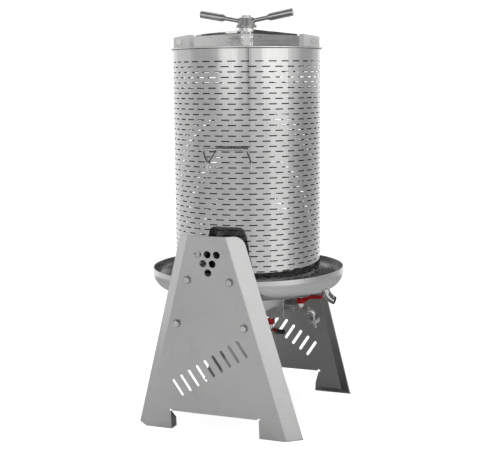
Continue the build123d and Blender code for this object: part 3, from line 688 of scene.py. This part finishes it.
# ------------------------------------------------------------------ CAD nodes keep their shape
FINISHES = {
    # The washers take the darker copy of the fastener steel: painted shade round the bolt heads.
    "leg_washers": "washer_steel_painted_shade",
    "lid_shoe_bolts": "fastener_steel",
    "lid_shoe_nuts": "fastener_steel",
}
for name, node in nodes.items():
    if node.hide_render:
        continue
    slot = slot_of(name)
    finish = FINISHES.get(name, "shoe_steel" if name.startswith("lid_shoe_") else slot)
    if finish in MATERIALS:
        node.data.materials.clear()
        node.data.materials.append(MATERIALS[finish])


# ------------------------------------------------------------------ floor, studio and lights
FLOOR_RINGS = (0.5, 1.0, 1.6, 2.1)
FLOOR_SIDES = 96
FLOOR_Z = -0.5 * MM
FLOOR_TONE = 0.66
FLOOR_GLOW = 0.85


def make_floor():
    """A round pale floor that looks as white as the backdrop to the camera."""
    points = [(0, 0, FLOOR_Z)]
    around = FLOOR_SIDES
    for radius in FLOOR_RINGS:
        for i in range(around):
            turn = 2 * math.pi * i / around
            points.append((radius * math.cos(turn), radius * math.sin(turn), FLOOR_Z))
    faces = [[0, 1 + i, 1 + (i + 1) % around] for i in range(around)]
    for k in range(len(FLOOR_RINGS) - 1):
        a, b = 1 + k * around, 1 + (k + 1) * around
        faces += [[a + i, b + i, b + (i + 1) % around, a + (i + 1) % around] for i in range(around)]
    material = bpy.data.materials.new("pale_floor")
    material.use_nodes = True
    tree = material.node_tree
    tree.nodes.clear()
    graph = Graph(tree)
    matt = graph.node("ShaderNodeBsdfDiffuse")
    matt.inputs["Color"].default_value = grey(FLOOR_TONE)
    glow = graph.node("ShaderNodeEmission")
    glow.inputs["Color"].default_value = grey(1.0)
    seen = graph.node("ShaderNodeLightPath").outputs["Is Camera Ray"]
    graph.put(glow.inputs["Strength"], graph.math("MULTIPLY", seen, FLOOR_GLOW))
    both = graph.node("ShaderNodeAddShader")
    tree.links.new(matt.outputs[0], both.inputs[0])
    tree.links.new(glow.outputs[0], both.inputs[1])
    out = graph.node("ShaderNodeOutputMaterial")
    tree.links.new(both.outputs[0], out.inputs["Surface"])
    floor = mesh_object("pale_floor", points, faces, material)


# Brightness of the studio round the object, above and below the horizontal. Angles are in
# degrees from the camera's side, positive towards the camera's right; 180 is straight behind
# the object.
STUDIO_HIGH = (
    (-180, 0.98), (-146, 0.95), (-136, 0.80), (-100, 0.72), (-88, 0.52), (-60, 0.54),
    (-46, 0.66), (-38, 1.12), (-18, 1.20), (-10, 0.85), (-1, 0.80), (0.4, 0.26), (3.6, 0.26),
    (5, 0.85), (22, 0.95), (26, 1.35), (62, 1.30), (68, 0.95), (84, 0.70), (96, 0.48),
    (118, 0.48), (128, 0.62), (142, 0.70), (152, 0.95), (180, 0.98),
)
STUDIO_LOW = (
    (-180, 0.98), (-146, 0.95), (-134, 0.80), (-96, 0.64), (-84, 0.52), (-60, 0.56),
    (-38, 0.58), (-12, 0.62), (-2, 0.58), (4, 0.60), (8, 0.70), (30, 0.76), (38, 0.95),
    (60, 0.95), (70, 0.64), (86, 0.46), (98, 0.38), (124, 0.46), (140, 0.58), (152, 0.95),
    (180, 0.98),
)
CEILING = 0.16
CEILING_STRIP = 1.3
BACKDROP = 1.1
STUDIO_SCALE = 2.0
HORIZON_RISE = (-0.06, 0.02)
CEILING_RISE = (0.12, 0.5)
STRIP_RISE = (0.80, 0.86)
STRIP_BEHIND = (-0.12, -0.25)


def make_world():
    """The studio: soft bands of light and dark all round, a dim ceiling with a bright strip far
    up behind the object, and a white backdrop that only the camera sees."""
    world = bpy.data.worlds.new("studio")
    scene.world = world
    world.use_nodes = True
    tree = world.node_tree
    tree.nodes.clear()
    graph = Graph(tree)
    parts = graph.node("ShaderNodeSeparateXYZ")
    graph.put(parts.inputs[0], graph.node("ShaderNodeTexCoord").outputs["Generated"])
    x, y, z = parts.outputs
    sin_a, cos_a = math.sin(VIEW_SIDE), math.cos(VIEW_SIDE)
    x_cos, x_sin = graph.math("MULTIPLY", x, cos_a), graph.math("MULTIPLY", x, sin_a)
    y_cos, y_sin = graph.math("MULTIPLY", y, cos_a), graph.math("MULTIPLY", y, sin_a)
    to_right = graph.math("ADD", x_cos, y_sin)
    to_camera = graph.math("SUBTRACT", x_sin, y_cos)
    angle = graph.math("ARCTAN2", to_right, to_camera)
    share = graph.math("ADD", graph.math("DIVIDE", angle, 2 * math.pi), 0.5)
    ramps = [
        graph.ramp(share, [(a / 360 + 0.5, v / STUDIO_SCALE) for a, v in stops])
        for stops in (STUDIO_HIGH, STUDIO_LOW)
    ]
    walls = graph.blend(graph.step(z, *HORIZON_RISE), ramps[1], ramps[0])
    ceiling = graph.step(z, *CEILING_RISE)
    behind = graph.step(to_camera, *STRIP_BEHIND)
    strip = graph.math("MULTIPLY", behind, graph.step(z, *STRIP_RISE))
    overhead = graph.blend(strip, grey(CEILING / STUDIO_SCALE), grey(CEILING_STRIP / STUDIO_SCALE))
    all_round = graph.blend(ceiling, walls, overhead)
    seen = graph.node("ShaderNodeLightPath").outputs["Is Camera Ray"]
    shown = graph.blend(seen, all_round, grey(BACKDROP / STUDIO_SCALE))
    back = graph.node("ShaderNodeBackground")
    graph.put(back.inputs["Color"], shown)
    back.inputs["Strength"].default_value = STUDIO_SCALE
    out = graph.node("ShaderNodeOutputWorld")
    tree.links.new(back.outputs[0], out.inputs["Surface"])


def soft_light(name, place, target, width, height, watts):
    """A soft light that lights the object but is not mirrored in it."""
    data = bpy.data.lights.new(name, "AREA")
    data.shape = "RECTANGLE"
    data.size = width
    data.size_y = height
    data.energy = watts
    light = bpy.data.objects.new(name, data)
    scene.collection.objects.link(light)
    light.location = place
    light.rotation_mode = "QUATERNION"
    light.rotation_quaternion = (Vector(target) - Vector(place)).to_track_quat("-Z", "Y")
    light.visible_camera = False
    light.visible_glossy = False


make_floor()
make_world()
soft_light("soft_light_above", (0.3, -0.6, 3.4), (0, 0, 0.6), width=2.4, height=2.4, watts=60)
soft_light(
    "soft_light_front_left", (-1.6, -3.2, 2.4), (0, 0, 0.7), width=1.4, height=1.8, watts=15
)
